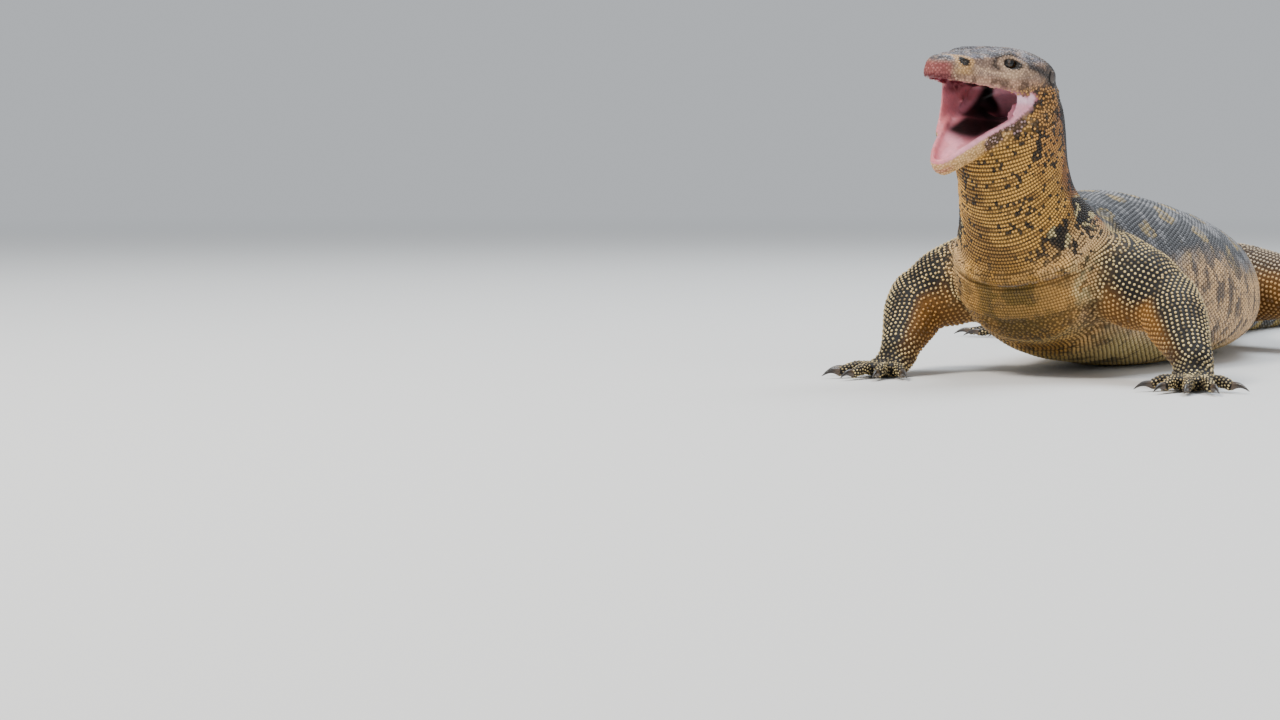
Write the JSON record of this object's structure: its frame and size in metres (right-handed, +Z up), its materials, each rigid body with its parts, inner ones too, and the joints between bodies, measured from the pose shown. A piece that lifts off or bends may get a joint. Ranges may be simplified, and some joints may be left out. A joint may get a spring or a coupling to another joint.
{
  "type": "water monitor lizard model",
  "caption": "Life-size still model of a water monitor lizard on its belly, neck raised, head turned and jaws wide open, with a long curved tail.",
  "frame": {"origin": "middle of the flat under the belly, on the floor that the animal lies on", "axes": "+Z up, -Y the way the chest faces, +Y towards the tail tip, +X the animal's left"},
  "size_m": [0.4712, 1.6698, 0.2509],
  "materials": {
    "head_skin": "scaled skin, satin",
    "throat_skin": "scaled skin, ochre with black flecks, satin",
    "back_skin": "beaded skin, slate with yellowish spots, satin",
    "limb_skin": "beaded skin, black with cream beads, satin",
    "eye": "wet gloss",
    "ear_drum": "thin smooth skin",
    "claw": "dark horn, semi-gloss"
  },
  "bodies": {
    "root": {"head": "head_skin", "lower_jaw": "throat_skin", "neck": "throat_skin", "eye_left": "eye", "ear_left": "ear_drum", "eye_right": "eye", "ear_right": "ear_drum", "torso": "back_skin", "tail_base": "back_skin", "tail_middle": "back_skin", "tail_end": "back_skin", "upper_arm_left": "limb_skin", "forearm_left": "limb_skin", "hand_left": "limb_skin", "claw_hand_left_1": "claw", "claw_hand_left_2": "claw", "claw_hand_left_3": "claw", "claw_hand_left_4": "claw", "claw_hand_left_5": "claw", "upper_arm_right": "limb_skin", "forearm_right": "limb_skin", "hand_right": "limb_skin", "claw_hand_right_1": "claw", "claw_hand_right_2": "claw", "claw_hand_right_3": "claw", "claw_hand_right_4": "claw", "claw_hand_right_5": "claw", "thigh_left": "limb_skin", "shank_left": "limb_skin", "foot_left": "limb_skin", "claw_foot_left_1": "claw", "claw_foot_left_2": "claw", "claw_foot_left_3": "claw", "claw_foot_left_4": "claw", "claw_foot_left_5": "claw", "thigh_right": "limb_skin", "shank_right": "limb_skin", "foot_right": "limb_skin", "claw_foot_right_1": "claw", "claw_foot_right_2": "claw", "claw_foot_right_3": "claw", "claw_foot_right_4": "claw", "claw_foot_right_5": "claw"}
  },
  "joints": []
}
